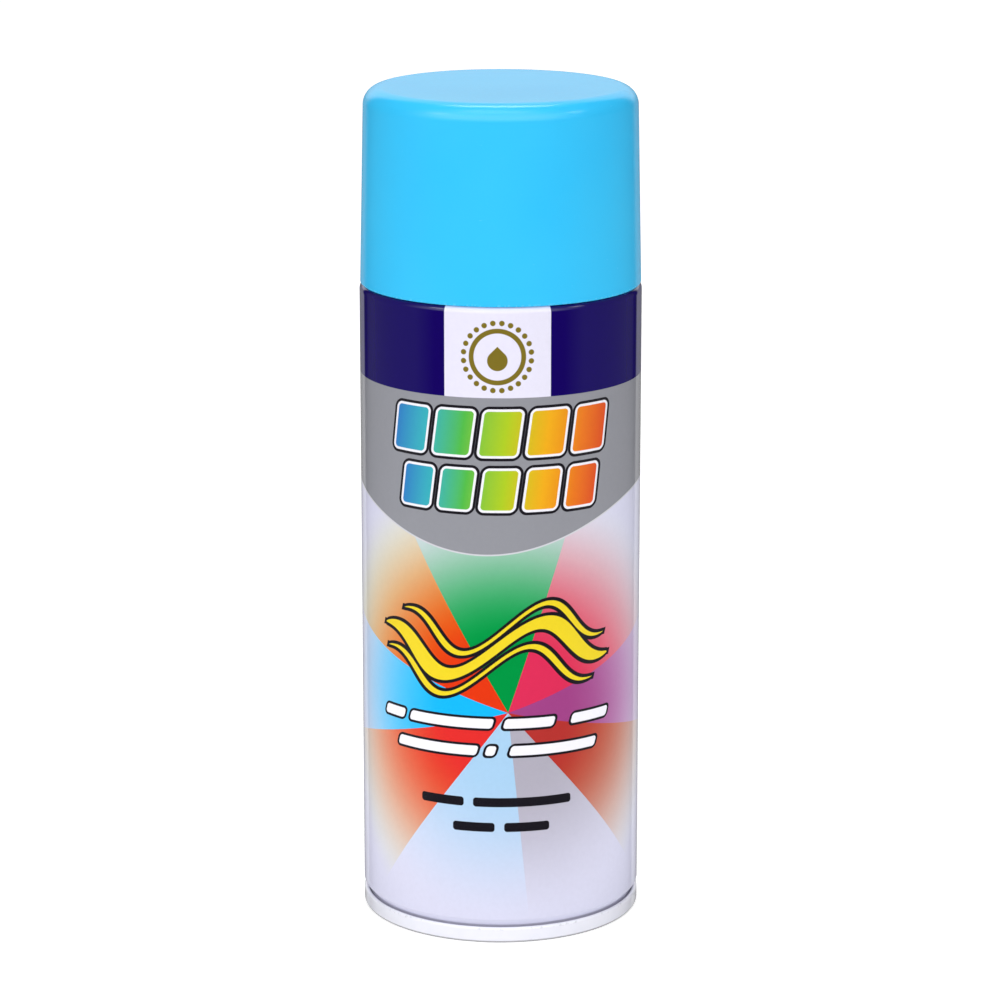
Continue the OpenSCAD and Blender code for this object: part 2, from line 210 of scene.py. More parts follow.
def sheet(path, thickness):
    """Outline of a bent sheet whose middle follows the path: its left side out, its right side back."""
    return beside(path, thickness / 2) + beside(path, -thickness / 2)[::-1]


def bead(radius, height, drop, depth, steps=20):
    """One cosine wave of the given depth, from height down by drop, on a wall of that radius."""
    return [Vector((radius + depth * (1 - math.cos(math.tau * i / steps)) / 2, height - drop * i / steps))
            for i in range(steps + 1)]


def end_seam(neck_r, height):
    """The end's metal in a double seam, from the cover hook's tip over the crown to the chuck wall."""
    fold_z = -height + END_T / 2 + PITCH
    crown_z = -END_T / 2 - CROWN_BEND
    outer_r = neck_r + 3 * PITCH
    inner_r = neck_r - PITCH
    return joined([(neck_r + PITCH, HOOK_Z - HOOK_GAP)],
                  arc((neck_r + 2 * PITCH, fold_z), PITCH, 180, 360),
                  arc((outer_r - CROWN_BEND, crown_z), CROWN_BEND, 0, 90, 10),
                  arc((inner_r + CROWN_BEND, crown_z), CROWN_BEND, 90, 180, 10))


def body_seam(neck_r, height):
    """The body's metal in a double seam, up the neck and over into the body hook."""
    return joined(arc((neck_r + PITCH, HOOK_Z), PITCH, 180, 0),
                  [(neck_r + 2 * PITCH, -height + END_T / 2 + PITCH + HOOK_GAP)])


def neck_in(r0, r1, bend, angle, height):
    """A neck-in from radius r0 to r1, going up: two equal bends with a straight slope between them."""
    slope_r = r0 - r1 - 2 * bend * (1 - math.cos(math.radians(angle)))
    rise = 2 * bend * math.sin(math.radians(angle)) + slope_r / math.tan(math.radians(angle))
    return joined(arc((r0 - bend, height), bend, 0, angle),
                  arc((r1 + bend, height + rise), bend, 180 + angle, 180))


# ---------------------------------------------------------------- meshes

def new_piece(name, bm, materials, sharp_angle=32):
    """An object from a bmesh in millimetres, smooth but for edges sharper than the given angle."""
    bmesh.ops.remove_doubles(bm, verts=bm.verts, dist=0.0005)
    bmesh.ops.scale(bm, vec=(MM, MM, MM), verts=bm.verts)
    bmesh.ops.recalc_face_normals(bm, faces=bm.faces)
    mesh = bpy.data.meshes.new(name)
    bm.to_mesh(mesh)
    bm.free()
    for material in materials:
        mesh.materials.append(material)
    mesh.shade_smooth()
    mesh.set_sharp_from_angle(angle=math.radians(sharp_angle))
    piece = bpy.data.objects.new(name, mesh)
    bpy.context.scene.collection.objects.link(piece)
    return piece


def at_angle(point, angle):
    """The point of a (radius, height) outline at that angle round the axis."""
    return Vector((point[0] * math.cos(angle), point[0] * math.sin(angle), point[1]))


def revolve(bm, outline, start=0.0, end=math.tau, segments=SEGMENTS, material_of=None):
    """Turns a closed outline about Z. material_of gives the material number of the outline's side i."""
    closed = abs(end - start - math.tau) < 1e-6
    count = segments if closed else segments + 1
    rings = []
    for k in range(count):
        angle = start + (end - start) * k / segments
        rings.append([bm.verts.new(at_angle(point, angle)) for point in outline])
    for k in range(segments):
        ring, following = rings[k], rings[(k + 1) % count]
        for i in range(len(outline)):
            j = (i + 1) % len(outline)
            if outline[i][0] < 1e-6 and outline[j][0] < 1e-6:
                continue
            corners = [ring[i], ring[j], following[j], following[i]]
            if outline[i][0] < 1e-6:
                corners = [ring[i], ring[j], following[j]]
            elif outline[j][0] < 1e-6:
                corners = [ring[i], ring[j], following[i]]
            face = bm.faces.new(corners)
            face.material_index = material_of(i) if material_of else 0
    if not closed:
        bm.faces.new(rings[0])
        bm.faces.new(rings[-1])


def plate(bm, outline, angle, thickness):
    """A flat plate whose outline stands in the plane through the axis at that angle."""
    across = Vector((-math.sin(angle), math.cos(angle), 0)) * thickness / 2
    sides = [[bm.verts.new(at_angle(point, angle) + shift) for point in outline]
             for shift in (across, -across)]
    bm.faces.new(sides[0])
    bm.faces.new(sides[1][::-1])
    for i in range(len(outline)):
        j = (i + 1) % len(outline)
        bm.faces.new([sides[0][i], sides[0][j], sides[1][j], sides[1][i]])


def turned_sheet(name, path, thickness, outside, inside=None):
    """A turned sheet-metal piece; inside, if given, covers the left side of its path."""
    outline = sheet(path, thickness)
    bm = bmesh.new()
    left_sides = len(path) - 1
    revolve(bm, outline, material_of=lambda i: 1 if inside and i < left_sides else 0)
    return new_piece(name, bm, [outside] + ([inside] if inside else []))


def stand_for(piece, node, body):
    """The piece replaces the CAD node and rides on its body."""
    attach(piece, body)
    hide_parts(node)


# ---------------------------------------------------------------- node arithmetic

class Wire:
    """A value in a node tree; plain arithmetic on it adds math nodes."""

    def __init__(self, tree, socket):
        self.tree = tree
        self.socket = socket

    def __add__(self, other):
        return math_node("ADD", self, other)

    def __sub__(self, other):
        return math_node("SUBTRACT", self, other)

    def __rsub__(self, other):
        return math_node("SUBTRACT", other, self)

    def __mul__(self, other):
        return math_node("MULTIPLY", self, other)

    def __truediv__(self, other):
        return math_node("DIVIDE", self, other)

    def __mod__(self, other):
        return math_node("FLOORED_MODULO", self, other)

    def __neg__(self):
        return math_node("MULTIPLY", self, -1.0)

    def __abs__(self):
        return math_node("ABSOLUTE", self)

    __radd__ = __add__
    __rmul__ = __mul__


def connect(value, socket):
    """Feeds a socket from a wire, or sets it to a plain value."""
    if isinstance(value, Wire):
        value.tree.links.new(value.socket, socket)
    else:
        socket.default_value = value


def math_node(operation, *values):
    tree = next(v.tree for v in values if isinstance(v, Wire))
    node = tree.nodes.new("ShaderNodeMath")
    node.operation = operation
    for value, socket in zip(values, node.inputs):
        connect(value, socket)
    return Wire(tree, node.outputs[0])


def smallest(*values):
    found = values[0]
    for value in values[1:]:
        found = math_node("MINIMUM", found, value)
    return found


def largest(a, b):
    return math_node("MAXIMUM", a, b)


def root(value):
    return math_node("SQRT", value)


def length(a, b):
    return root(a * a + b * b)


def sine(value):
    return math_node("SINE", value)


def cosine(value):
    return math_node("COSINE", value)


def ramp_up(value, low, high, smooth=True):
    """0 below low, 1 above high. With high below low it falls instead."""
    node = value.tree.nodes.new("ShaderNodeMapRange")
    node.interpolation_type = "SMOOTHSTEP" if smooth else "LINEAR"
    node.clamp = True
    connect(value, node.inputs["Value"])
    backwards = high < low
    node.inputs["From Min"].default_value = high if backwards else low
    node.inputs["From Max"].default_value = low if backwards else high
    node.inputs["To Min"].default_value = 1.0 if backwards else 0.0
    node.inputs["To Max"].default_value = 0.0 if backwards else 1.0
    return Wire(value.tree, node.outputs["Result"])


PRINT_EDGE = 0.05                   # half the width of a printed edge, in millimetres


def inside_of(distance, edge=0.0):
    """1 where the distance is below the edge, with a printed edge's softness."""
    return ramp_up(distance, edge + PRINT_EDGE, edge - PRINT_EDGE, smooth=False)


def mix(factor, a, b):
    """Colour a where factor is 0, b where it is 1."""
    node = factor.tree.nodes.new("ShaderNodeMix")
    node.data_type = "RGBA"
    connect(factor, node.inputs["Factor"])
    connect(a, node.inputs[6])
    connect(b, node.inputs[7])
    return Wire(factor.tree, node.outputs[2])


def blend_value(factor, a, b):
    """Number a where factor is 0, b where it is 1."""
    return factor * (-a + b) + a


def to_power(colour, power):
    """Each channel of the colour raised to the power."""
    node = colour.tree.nodes.new("ShaderNodeGamma")
    connect(colour, node.inputs["Color"])
    connect(power, node.inputs["Gamma"])
    return Wire(colour.tree, node.outputs["Color"])


def colour_ramp(value, stops, interpolation="LINEAR"):
    """stops is a list of (position, colour)."""
    node = value.tree.nodes.new("ShaderNodeValToRGB")
    ramp = node.color_ramp
    ramp.interpolation = interpolation
    while len(ramp.elements) < len(stops):
        ramp.elements.new(0.5)
    for element, (position, colour) in zip(ramp.elements, stops):
        element.position = position
        element.color = colour
    connect(value, node.inputs["Fac"])
    return Wire(value.tree, node.outputs["Color"])


def linear(red, green, blue):
    """A colour given on the usual 0 to 255 screen scale."""
    def channel(value):
        value = value / 255
        return value / 12.92 if value <= 0.04045 else ((value + 0.055) / 1.055) ** 2.4
    return (channel(red), channel(green), channel(blue), 1.0)


def grey(value):
    return (value, value, value, 1.0)


class Place:
    """Object coordinates in millimetres: x, y, z, and all three as a vector."""

    def __init__(self, tree):
        self.tree = tree
        coordinates = tree.nodes.new("ShaderNodeTexCoord")
        scale = tree.nodes.new("ShaderNodeVectorMath")
        scale.operation = "SCALE"
        scale.inputs["Scale"].default_value = 1 / MM
        tree.links.new(coordinates.outputs["Object"], scale.inputs[0])
        split = tree.nodes.new("ShaderNodeSeparateXYZ")
        tree.links.new(scale.outputs[0], split.inputs[0])
        self.vector = Wire(tree, scale.outputs[0])
        self.x, self.y, self.z = (Wire(tree, split.outputs[i]) for i in range(3))


def channels(colour):
    node = colour.tree.nodes.new("ShaderNodeSeparateXYZ")
    connect(colour, node.inputs[0])
    return [Wire(colour.tree, output) for output in node.outputs]


def joined_vector(x, y, z):
    tree = next(v.tree for v in (x, y, z) if isinstance(v, Wire))
    node = tree.nodes.new("ShaderNodeCombineXYZ")
    for value, socket in zip((x, y, z), node.inputs):
        connect(value, socket)
    return Wire(tree, node.outputs[0])


def noise(vector, scale, detail=3.0, roughness=0.5):
    """Noise about 0.5, with that many features per millimetre of the vector."""
    node = vector.tree.nodes.new("ShaderNodeTexNoise")
    connect(vector, node.inputs["Vector"])
    node.inputs["Scale"].default_value = scale
    node.inputs["Detail"].default_value = detail
    node.inputs["Roughness"].default_value = roughness
    return Wire(vector.tree, node.outputs["Fac"])


def random_of(x, y=0.0):
    """A number from 0 to 1 that depends only on x and y."""
    vector = joined_vector(x, y, 0.0)
    node = vector.tree.nodes.new("ShaderNodeTexWhiteNoise")
    node.noise_dimensions = "2D"
    connect(vector, node.inputs["Vector"])
    return Wire(vector.tree, node.outputs["Value"])


def scratches(place, along, across, share):
    """1 on thin, long scratches: along and across are the stretch of the noise in x or y, and z."""
    stretched = joined_vector(place.x * along, place.y * along, place.z * across)
    return ramp_up(noise(stretched, 1.0, detail=5.0, roughness=0.6), 1 - share, 1 - share + 0.06)


def bump(height, distance, strength=1.0, edge_radius=None):
    """A normal from a height map in millimetres, over edges rounded by edge_radius."""
    node = height.tree.nodes.new("ShaderNodeBump")
    node.inputs["Strength"].default_value = strength
    node.inputs["Distance"].default_value = distance * MM
    connect(height, node.inputs["Height"])
    if edge_radius:
        rounding = height.tree.nodes.new("ShaderNodeBevel")
        rounding.samples = 4
        rounding.inputs["Radius"].default_value = edge_radius * MM
        height.tree.links.new(rounding.outputs[0], node.inputs["Normal"])
    return Wire(height.tree, node.outputs[0])


def new_material(name):
    """A material with one Principled shader: (material, node tree, its inputs)."""
    material = bpy.data.materials.new(name)
    material.use_nodes = True
    tree = material.node_tree
    tree.nodes.clear()
    shader = tree.nodes.new("ShaderNodeBsdfPrincipled")
    output = tree.nodes.new("ShaderNodeOutputMaterial")
    tree.links.new(shader.outputs[0], output.inputs["Surface"])
    return material, tree, shader.inputs


def set_all(inputs, **values):
    """Sets shader inputs by name, with underscores for the spaces."""
    for name, value in values.items():
        connect(value, inputs[name.replace("_", " ")])


# ---------------------------------------------------------------- the label's print

NAVY = linear(20, 2, 96)
WINDOW_WHITE = linear(237, 234, 252)
BAND_GREY = linear(150, 151, 158)
PALE_LINE = linear(215, 215, 222)
GOLD = linear(128, 112, 38)
INK = linear(28, 26, 32)
PAPER_WHITE = linear(248, 247, 255)
YELLOW = linear(242, 216, 44)

PRINT_TOP_Z = SHOULDER_Z + 5        # bare metal above this, under the closed cap
NAVY_Z = 129.2
WINDOW_S = -0.75
WINDOW_HALF_W = 12.2

BAND_EDGE_Z = 93                    # lowest point of the grey band's lower border
BAND_WAVE = 5.75                    # half its rise, over two waves round the can
BAND_PHASE = math.radians(7)
BAND_LINE = 0.35

WHEEL_S = 1.7                       # the middle of the colour wheel
WHEEL_Z = 55.7
WHEEL_FULL_R = 14
WHEEL_FADED_R = 52
YELLOW_LAG = 6.5                    # how much farther out yellow ink reaches than the others
PAPER = (222, 222, 244)
# Each sector's start, clockwise in degrees from straight up, its ink, and how much of that is yellow
WHEEL = [(0, (2, 148, 68), 0.3), (18, (222, 52, 90), 0.4), (69, (160, 70, 134), 0),
         (102, (180, 56, 52), 0.5), (138, (176, 172, 186), 0), (173, (169, 208, 240), 0),
         (216, (228, 52, 50), 0.8), (255, (30, 184, 250), 0), (289, (229, 60, 26), 1),
         (330, (2, 148, 68), 0.3)]
SCREEN_GAMMA = 2.2

# Two rows of outlined swatches: middle height, half height, pitch, the row's shift, and its blend
SWATCHES = [(121.0, 5.1, 10.9, 0.0), (107.9, 4.6, 9.9, -0.3)]
SWATCHES_PER_ROW = 5
SWATCH_CORNER = 0.9
SWATCH_SLANT = 0.14
OUTLINE_WHITE = 0.55
OUTLINE_BLACK = 1.2
RAINBOW = [(0.0, linear(48, 118, 200)), (0.17, linear(60, 178, 190)), (0.34, linear(84, 188, 74)),
           (0.52, linear(176, 206, 40)), (0.7, linear(244, 176, 32)), (0.86, linear(238, 122, 32)),
           (1.0, linear(224, 72, 36))]

# Yellow brush strokes under the swatches: (middle s, middle z, half length, swing, half waves, half width)
STROKES = [(-1.5, 70.5, 30.0, 6.6, 3, 2.1),
           (-3.5, 65.4, 27.0, 6.2, 3, 0.75),
           (1.0, 75.4, 26.0, 6.2, 3, 0.75)]
STROKE_SLANT = 0.3
STROKE_THIN = 0.55                  # width of an upstroke, as a share of a downstroke's
STROKE_OUTLINE = 0.8

# Rows of bars: (middle height, half height, [(left, right), ...])
WHITE_BARS = [(53.1, 1.15, [(-30.6, -24.2), (-22.4, -1.8), (0.8, 12.6), (17.0, 27.6)]),
              (46.6, 1.15, [(-26.0, -5.4), (-3.4, -1.2), (2.2, 23.8)])]
DARK_BARS = [(34.2, 1.1, [(-19.2, -8.6), (-6.4, 16.8)]),
             (28.2, 1.1, [(-11.2, -1.4), (0.8, 11.4)])]
BAR_CORNER = 0.7
BAR_SLANT = 0.3
BAR_OUTLINE = 0.6

# Small print panels at the back: rows of thin bars on both sides of the side seam
PANEL_TURN = (math.radians(100), math.radians(160))
PANEL_Z = (20, 84)
PANEL_PITCH = 2.6
PANEL_BAR = 0.5                     # half height of a bar
SEAM_MARGIN = 3                     # half the width of the unprinted strip along the side seam
PANEL_GREY = linear(96, 94, 112)

EMBLEM_Z = 138.6
EMBLEM_RING_R = 5.9
EMBLEM_RING_W = 0.55
EMBLEM_DROP_R = 2.3
EMBLEM_DROP_DROP = 0.9              # how far the drop's round end sits below the middle
EMBLEM_DOT_R = 0.62
EMBLEM_DOT_RING_R = 7.7
EMBLEM_DOTS = 24


def rounded(across, up, corner):
    """Distance to a box from its two one-way distances, with rounded corners."""
    return length(largest(across + corner, 0.0), largest(up + corner, 0.0)) - corner


def bar_row(s, z, row, slant=0.0):
    """Distance to one row of rounded bars."""
    middle, half_h, bars = row
    along = s - (z - middle) * slant if slant else s
    across = smallest(*[abs(along - (left + right) / 2) - (right - left) / 2 for left, right in bars])
    return rounded(across, abs(z - middle) - half_h, BAR_CORNER)


def swatch_row(s, z, row):
    """(distance to a row of slanted swatches, share of the way along the row)."""
    middle, half_h, pitch, shift = row
    along = s - shift - (z - middle) * SWATCH_SLANT
    half_row = pitch * SWATCHES_PER_ROW / 2
    local = (along + half_row) % pitch - pitch / 2
    beyond = abs(along) - half_row
    across = largest(abs(local) - (pitch / 2 - OUTLINE_BLACK), beyond + OUTLINE_BLACK)
    return rounded(across, abs(z - middle) - half_h, SWATCH_CORNER), (along + half_row) / (2 * half_row)


def emblem(s, z):
    """Distance to a ring with a paint drop in it and a circle of dots round it."""
    x = s - WINDOW_S
    y = z - EMBLEM_Z
    radius = length(x, y)
    ring = abs(radius - EMBLEM_RING_R) - EMBLEM_RING_W
    dot_angle = math_node("ARCTAN2", x, y) + math.tau
    step = math.tau / EMBLEM_DOTS
    beside_dot = (dot_angle % step - step / 2) * EMBLEM_DOT_RING_R
    dot = length(radius - EMBLEM_DOT_RING_R, beside_dot) - EMBLEM_DOT_R
    drop_y = y + EMBLEM_DROP_DROP
    tip = largest(abs(x) + drop_y - EMBLEM_DROP_R * math.sqrt(2), abs(x) - drop_y) / math.sqrt(2)
    drop = smallest(length(x, drop_y) - EMBLEM_DROP_R, tip)
    return smallest(ring, dot, drop)


def brush_stroke(s, z, stroke):
    """Distance to a stroke that swings up and down along the can, thin going up and towards its ends."""
    middle_s, middle_z, half_l, swing, half_waves, half_w = stroke
    along = s - middle_s - (z - middle_z) * STROKE_SLANT
    share = along / half_l
    fall = largest(1.0 - share * share, 0.0)
    waves_per_mm = math.pi * half_waves / 2 / half_l
    wave = along * waves_per_mm
    height = (fall * 0.5 + 0.5) * swing
    slope = cosine(wave) * height * waves_per_mm
    gap = abs(z - middle_z - sine(wave) * height) / root(slope * slope + 1.0)
    thick = ramp_up(cosine(wave), 0.9, -0.9) * (1 - STROKE_THIN) + STROKE_THIN
    return largest(gap - root(fall) * thick * half_w, abs(along) - half_l)


def paint_wheel(s, z):
    """Sectors of ink round one point that thin out into the paper, evenly to the eye."""
    ds = s - WHEEL_S
    dz = z - WHEEL_Z
    radius = length(ds, dz)
    share = (math_node("ARCTAN2", ds, dz) / math.tau) % 1.0
    ink_stops = [(angle / 360, [c / 255 for c in ink] + [1]) for angle, ink, _ in WHEEL]
    yellow_stops = [(angle / 360, grey(part)) for angle, _, part in WHEEL]
    inks = colour_ramp(share, ink_stops, "CONSTANT")
    yellow = colour_ramp(share, yellow_stops, "CONSTANT")
    amount = ramp_up(radius, WHEEL_FADED_R, WHEEL_FULL_R)
    blue_amount = ramp_up(radius - yellow * YELLOW_LAG, WHEEL_FADED_R, WHEEL_FULL_R)
    mixed = [blend_value(part, paper / 255, ink) for part, paper, ink in
             zip((amount, amount, blue_amount), PAPER, channels(inks))]
    return to_power(joined_vector(*mixed), SCREEN_GAMMA)


def paint_bands(s, z, turn, colour):
    """The grey band with its waved border, the navy band and its white window."""
    border = z - BAND_EDGE_Z - (1.0 - cosine((turn + BAND_PHASE) * 2)) * BAND_WAVE
    colour = mix(inside_of(-border, BAND_LINE), colour, PALE_LINE)
    colour = mix(inside_of(-border), colour, BAND_GREY)
    colour = mix(inside_of(-z, -NAVY_Z), colour, NAVY)
    window = largest(abs(s - WINDOW_S) - WINDOW_HALF_W, NAVY_Z - z)
    return mix(inside_of(window), colour, WINDOW_WHITE)


def paint_swatches(s, z, colour):
    """Both rows' black outlines, then their white ones, then the swatches."""
    rows = [swatch_row(s, z, row) for row in SWATCHES]
    nearest = smallest(*[distance for distance, share in rows])
    colour = mix(inside_of(nearest, OUTLINE_BLACK), colour, INK)
    colour = mix(inside_of(nearest, OUTLINE_WHITE), colour, PAPER_WHITE)
    for distance, share in rows:
        colour = mix(inside_of(distance), colour, colour_ramp(share, RAINBOW))
    return colour


def paint_bars(s, z, colour):
    white = smallest(*[bar_row(s, z, row, BAR_SLANT) for row in WHITE_BARS])
    colour = mix(inside_of(white, BAR_OUTLINE), colour, INK)
    colour = mix(inside_of(white), colour, PAPER_WHITE)
    dark = smallest(*[bar_row(s, z, row) for row in DARK_BARS])
    return mix(inside_of(dark), colour, INK)


def paint_panels(z, turn, colour):
    """Paragraphs of thin bars with ragged ends, one on each side of the side seam."""
    row = math_node("FLOOR", z / PANEL_PITCH)
    side = math_node("SIGN", turn)
    ragged = random_of(row, side)
    gap = ramp_up(random_of(row + 40.0, side), 0.84, 0.86)
    first, last = PANEL_TURN
    end = ragged * (last - first) * 0.3
    across = largest(first - abs(turn), abs(turn) - last + end + gap * 9.0)
    low, high = PANEL_Z
    up = abs((z % PANEL_PITCH) - PANEL_PITCH / 2) - PANEL_BAR
    bars = largest(across * BODY_R, largest(up, abs(z - (low + high) / 2) - (high - low) / 2))
    return mix(inside_of(bars), colour, PANEL_GREY)


def label_print(place):
    """(the label's colour, 1 where the tinplate is bare) from the place on the wall."""
    turn = math_node("ARCTAN2", place.x, -place.y)
    s = turn * BODY_R
    z = place.z
    colour = paint_wheel(s, z)
    colour = paint_bands(s, z, turn, colour)
    colour = mix(inside_of(emblem(s, z)), colour, GOLD)
    colour = paint_swatches(s, z, colour)
    stroke = smallest(*[brush_stroke(s, z, stroke) for stroke in STROKES])
    colour = mix(inside_of(stroke, STROKE_OUTLINE), colour, INK)
    colour = mix(inside_of(stroke), colour, YELLOW)
    colour = paint_bars(s, z, colour)
    colour = paint_panels(z, turn, colour)
    bare = largest(inside_of((math.pi - abs(turn)) * BODY_R, SEAM_MARGIN), inside_of(-z, -PRINT_TOP_Z))
    return colour, bare


# ---------------------------------------------------------------- materials

def rolled_tin(place):
    """(colour, roughness, height) of bright tinplate, with its rolling grain and fine handling marks."""
    grain = noise(joined_vector(place.x * 0.08, place.y * 6.0, place.z * 6.0), 1.0, detail=4.0)
    cloud = noise(place.vector, 0.12, detail=2.0)
    marks = scratches(place, 0.35, 5.0, 0.36)
    colour = mix(cloud, linear(214, 214, 212), linear(234, 233, 229))
    roughness = grain * 0.16 + 0.14 + marks * 0.12
    return colour, roughness, grain + marks * 0.5


def printed_tinplate():
    """The body's outside: print under varnish, bare tin above and along the seam, and a painted shade in the
    groove just above the bottom seam.
    """
    material, tree, inputs = new_material("printed_tinplate")
    place = Place(tree)
    colour, bare = label_print(place)
    tin, tin_roughness, tin_height = rolled_tin(place)
    press = noise(place.vector, 0.9, detail=4.0)
    worn = scratches(place, 0.22, 3.2, 0.3)
    peel = noise(place.vector, 0.35, detail=2.0)
    # painted shade: a dark purple tone in the groove over the bottom seam, where shade falls; press darkens
    # the print at random
    groove_shade = ramp_up(place.z, BOTTOM_SEAM_H + 0.7, BOTTOM_SEAM_H + 0.1)
    printed = mix(press * 0.06 + groove_shade * 0.5, colour, linear(30, 20, 44))
    set_all(inputs,
            Base_Color=mix(bare, printed, tin),
            Metallic=bare,
            Roughness=blend_value(bare, press * 0.1 + 0.35, tin_roughness),
            Specular_IOR_Level=bare * 0.5,
            Coat_Weight=1.0 - bare * 0.7,
            Coat_Roughness=worn * 0.08 + press * 0.02 + 0.015,
            Coat_IOR=1.5,
            Normal=bump(peel + tin_height * bare * 0.3, 0.004, 0.5))
    return material


def inner_lacquer():
    """Gold lacquer on the inside of the body."""
    material, tree, inputs = new_material("inner_lacquer")
    place = Place(tree)
    cloud = noise(place.vector, 0.2)
    grain = noise(joined_vector(place.x * 4.0, place.y * 4.0, place.z * 0.1), 1.0)
    set_all(inputs,
            Base_Color=mix(cloud, linear(196, 164, 96), linear(212, 182, 116)),
            Metallic=0.85,
            Roughness=grain * 0.15 + 0.25,
            Normal=bump(grain, 0.01, 0.4))
    return material


def white_tinplate():
    """White enamel, greyed along the foot by painted shade where the can stands, with scuffs along the seam's
    crown.
    """
    material, tree, inputs = new_material("white_tinplate")
    place = Place(tree)
    radius = length(place.x, place.y)
    cloud = noise(place.vector, 0.25)
    crown = ramp_up(place.z, 0.9, 0.0)
    # painted shade: an even grey band along the lowest 0.7 mm, where the can meets the floor
    foot = ramp_up(place.z, 0.7, 0.3)
    outer = ramp_up(radius, BODY_R - 1.2, BODY_R - 0.6)
    upper_edge = ramp_up(abs(place.z - BOTTOM_SEAM_H + 0.35), 0.4, 0.1) * outer
    spots = ramp_up(noise(place.vector, 0.9, detail=5.0, roughness=0.65), 0.56, 0.64)
    worn = largest(crown * 0.3, upper_edge * 0.12) * spots
    enamel = mix(cloud, linear(238, 239, 250), linear(246, 246, 254))
    set_all(inputs,
            # the grey is real wear on the scuffs (worn) and painted shade along the foot
            Base_Color=mix(largest(worn, foot * 0.8), enamel, linear(150, 150, 152)),
            Metallic=worn * 0.8,
            Roughness=spots * 0.08 + 0.16,
            Coat_Weight=0.6,
            Coat_Roughness=0.08,
            Normal=bump(cloud + spots * 0.1, 0.006, 0.5))
    return material


def bare_tinplate():
    """Bright tinplate for the dome and the valve cup."""
    material, tree, inputs = new_material("bare_tinplate")
    place = Place(tree)
    colour, roughness, height = rolled_tin(place)
    set_all(inputs, Base_Color=colour, Metallic=1.0, Roughness=roughness, Normal=bump(height, 0.004, 0.5))
    return material


def cap_plastic():
    """Semi-gloss polypropylene: faint flow clouds, a fine peel and rubbed edges."""
    material, tree, inputs = new_material("cap_plastic")
    place = Place(tree)
    radius = length(place.x, place.y)
    cloud = noise(place.vector, 0.035, detail=2.0)
    peel = noise(place.vector, 1.1, detail=3.0)
    rubs = scratches(place, 0.3, 2.4, 0.3)
    edge = ramp_up(place.z, CAP_Z + 0.8, CAP_Z) * ramp_up(radius, CAP_R - 1, CAP_R - 0.5)
    rubbed = edge * ramp_up(noise(place.vector, 1.6, detail=4.0), 0.5, 0.62)
    sky = mix(cloud, linear(40, 195, 255), linear(58, 203, 255))
    set_all(inputs,
            Base_Color=mix(rubbed * 0.1, sky, linear(170, 232, 255)),
            Roughness=peel * 0.08 + rubs * 0.08 + rubbed * 0.15 + 0.2,
            Normal=bump(peel, 0.006, 0.35))
    return material


def moulded_plastic(name, dark, light, roughness, edge_radius=0.12):
    """A small moulded part: slight clouding, a matt skin and softened edges."""
    material, tree, inputs = new_material(name)
    place = Place(tree)
    cloud = noise(place.vector, 0.3)
    skin = noise(place.vector, 5.0, detail=4.0)
    set_all(inputs,
            Base_Color=mix(cloud, dark, light),
            Roughness=skin * 0.15 + roughness,
            Normal=bump(skin, 0.006, 0.5, edge_radius))
    return material


def rubber(name, dark, light):
    """Matt rubber or seaming compound with a grainy skin."""
    material, tree, inputs = new_material(name)
    place = Place(tree)
    grain = noise(place.vector, 7.0, detail=5.0, roughness=0.65)
    set_all(inputs,
            Base_Color=mix(grain, dark, light),
            Roughness=grain * 0.2 + 0.6,
            Specular_IOR_Level=0.35,
            Normal=bump(grain, 0.03, 0.7))
    return material


def steel(name, along):
    """Bright drawn or ground steel, its fine lines stretched by along."""
    material, tree, inputs = new_material(name)
    place = Place(tree)
    lines = noise(joined_vector(place.x * along, place.y * along, place.z * 8.0), 1.0, detail=4.0)
    cloud = noise(place.vector, 0.5)
    set_all(inputs,
            Base_Color=mix(cloud, linear(186, 187, 190), linear(216, 216, 218)),
            Metallic=1.0,
            Roughness=lines * 0.18 + 0.12,
            Normal=bump(lines, 0.003, 0.5))
    return material


def dip_tube_plastic():
    """Milky polyethylene that lets some light through, with faint lines from its extrusion."""
    material, tree, inputs = new_material("tube_plastic")
    place = Place(tree)
    lines = noise(joined_vector(place.x * 6.0, place.y * 6.0, place.z * 0.15), 1.0)
    set_all(inputs,
            Base_Color=mix(lines, linear(232, 234, 238), linear(246, 247, 250)),
            Roughness=lines * 0.15 + 0.3,
            Subsurface_Weight=0.3,
            Subsurface_Radius=(0.002, 0.002, 0.002),
            Normal=bump(lines, 0.008, 0.4))
    return material


# ---------------------------------------------------------------- the pieces

def make_can_body(outside, inside):
    top = joined(neck_in(BODY_MID_R, TOP_NECK_R, NECK_BEND, NECK_ANGLE, SHOULDER_Z),
                 lifted(body_seam(TOP_NECK_R, TOP_SEAM_H), CAN_H))
    bottom = turned_over(joined(neck_in(BODY_MID_R, BOTTOM_NECK_R, HEEL_BEND, HEEL_ANGLE, -HEEL_Z),
                                body_seam(BOTTOM_NECK_R, BOTTOM_SEAM_H)))
    path = joined(bottom[::-1], top)
    outline = sheet(path, BODY_T)
    bm = bmesh.new()
    revolve(bm, outline, material_of=lambda i: 1 if i < len(path) - 1 else 0)
    weld_in = BODY_R - BODY_T - WELD_RISE
    weld_out = BODY_R - BODY_T / 2
    weld = [(weld_in, HEEL_Z), (weld_out, HEEL_Z), (weld_out, SHOULDER_Z), (weld_in, SHOULDER_Z)]
    half = math.radians(WELD_HALF_ANGLE)
    revolve(bm, weld, math.pi / 2 - half, math.pi / 2 + half, segments=2, material_of=lambda i: 1)
    piece = new_piece("can_body_print", bm, [outside, inside])
    stand_for(piece, "can_body", "can")


